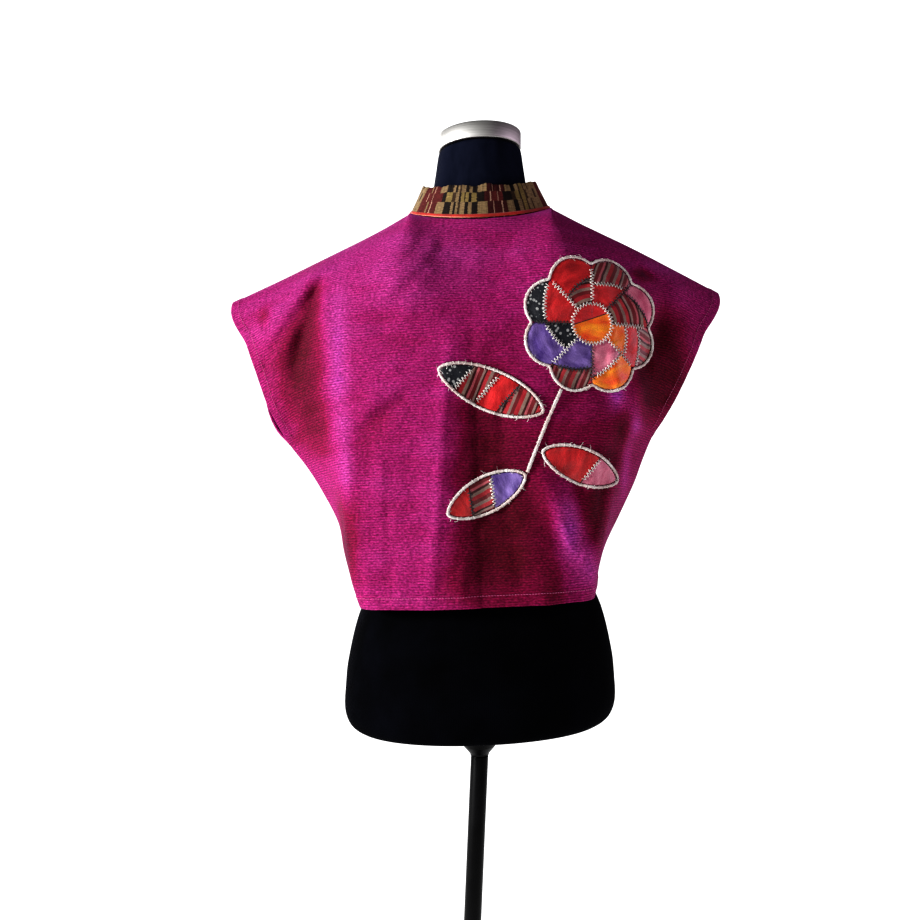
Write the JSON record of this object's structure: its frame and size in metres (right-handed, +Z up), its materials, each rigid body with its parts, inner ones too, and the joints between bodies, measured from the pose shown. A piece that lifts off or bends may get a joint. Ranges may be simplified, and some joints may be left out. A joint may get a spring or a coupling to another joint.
{
  "type": "kimono shrug on a dress form with stand",
  "caption": "Cropped kimono-cut cotton shrug with cap sleeves, stand collar and patchwork applique, shown on a limbless dress form with a floor stand.",
  "frame": {"origin": "on the floor, on the underside of the base, under the axis of the dress form", "axes": "+Z up, -Y towards the wearer's back, +X towards the wearer's right"},
  "size_m": [0.6114, 0.3, 1.3573],
  "materials": {
    "shot_cotton": "handwoven shot cotton, magenta and purple",
    "ikat_band": "warp ikat, olive-beige with brown and maroon blocks",
    "piping_cloth": "red-orange flat piping",
    "scrap_red": "red satin scrap",
    "scrap_stripe": "striped ikat scrap, brown-red and grey",
    "scrap_orange": "orange and yellow scrap",
    "scrap_pink": "pink scrap",
    "scrap_violet": "violet scrap",
    "scrap_dot": "black and white dotted scrap",
    "couched_cord": "off-white cotton cord, couched",
    "form_jersey": "black jersey over padding",
    "brushed_steel": "brushed",
    "stand_black": "black powder coat"
  },
  "bodies": {
    "root": {"back_panel": "shot_cotton", "front_left": "shot_cotton", "front_right": "shot_cotton", "collar_band": "ikat_band", "neck_piping": "piping_cloth", "rosette_centre": "scrap_orange", "rosette_cord": "couched_cord", "stem_cord": "couched_cord", "leaf_1": "scrap_stripe", "leaf_2": "scrap_red", "leaf_3": "scrap_violet", "leaf_1_cord": "couched_cord", "leaf_2_cord": "couched_cord", "leaf_3_cord": "couched_cord", "form_body": "form_jersey", "neck_cap": "brushed_steel", "pole_flange": "stand_black", "pole": "stand_black", "pole_socket": "stand_black", "base_plate": "stand_black", "rosette_blade_1": "scrap_red", "rosette_blade_2": "scrap_stripe", "rosette_blade_3": "scrap_orange", "rosette_blade_4": "scrap_pink", "rosette_blade_5": "scrap_violet", "rosette_blade_6": "scrap_dot", "rosette_blade_7": "scrap_red", "rosette_blade_8": "scrap_stripe"}
  },
  "joints": []
}
